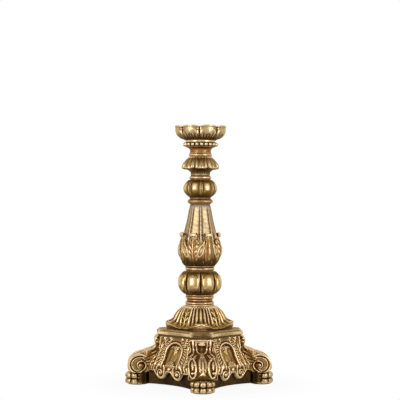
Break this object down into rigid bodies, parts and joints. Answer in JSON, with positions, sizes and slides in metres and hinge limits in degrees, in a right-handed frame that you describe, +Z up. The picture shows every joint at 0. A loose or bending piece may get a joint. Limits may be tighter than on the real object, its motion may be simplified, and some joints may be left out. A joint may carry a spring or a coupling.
{
  "type": "torchere candle stand",
  "caption": "Carved and gilded candle stand with a scroll-legged paw-foot base, a lobed and leaf-clasped column and a petal cup for a pillar candle.",
  "frame": {"origin": "on the floor plane, under the middle of the stand", "axes": "+Z up along the column, -Y towards the front leg, +X towards the right leg"},
  "size_m": [0.345, 0.345, 0.6],
  "materials": {
    "gilt_pale": "burnished gold leaf over bole on carved wood, bright and worn on the high parts",
    "gilt_dark": "antiqued gold leaf over red-brown bole on carved wood, dark in the hollows",
    "bare_wood": "unfinished limewood",
    "stained_wood": "dark stained wood with traces of gold",
    "pan_brass": "aged sheet brass",
    "zinc_steel": "zinc-plated steel",
    "felt": "dark brown wool felt"
  },
  "bodies": {
    "root": {"felt_pads": "felt", "paw_front": "gilt_dark", "paw_right": "gilt_dark", "paw_back": "gilt_dark", "paw_left": "gilt_dark", "plinth": "stained_wood", "base_core": "bare_wood", "leg_front": "gilt_dark", "leg_right": "gilt_dark", "leg_back": "gilt_dark", "leg_left": "gilt_dark", "panel_front_left": "gilt_dark", "panel_front_right": "gilt_dark", "panel_back_right": "gilt_dark", "panel_back_left": "gilt_dark", "leg_dowels": "bare_wood", "paw_screws": "zinc_steel", "plinth_screws": "zinc_steel", "top_plate": "gilt_dark", "shell_dome": "gilt_dark", "ring_collar": "gilt_pale", "lower_knop": "gilt_pale", "vase_ring": "gilt_pale", "fluted_vase": "gilt_pale", "leaf_1": "gilt_dark", "leaf_2": "gilt_dark", "leaf_3": "gilt_dark", "leaf_4": "gilt_dark", "leaf_5": "gilt_dark", "leaf_6": "gilt_dark", "leaf_7": "gilt_dark", "leaf_8": "gilt_dark", "neck_ring": "gilt_pale", "upper_knop": "gilt_pale", "spool_ring": "gilt_pale", "leaf_canopy": "gilt_pale", "neck_spool": "gilt_pale", "bead_ring": "gilt_pale", "petal_cup": "gilt_pale", "candle_pan": "pan_brass", "tie_rod": "zinc_steel", "top_nut": "zinc_steel", "top_washer": "zinc_steel", "bottom_nut": "zinc_steel", "bottom_washer": "zinc_steel"}
  },
  "joints": []
}
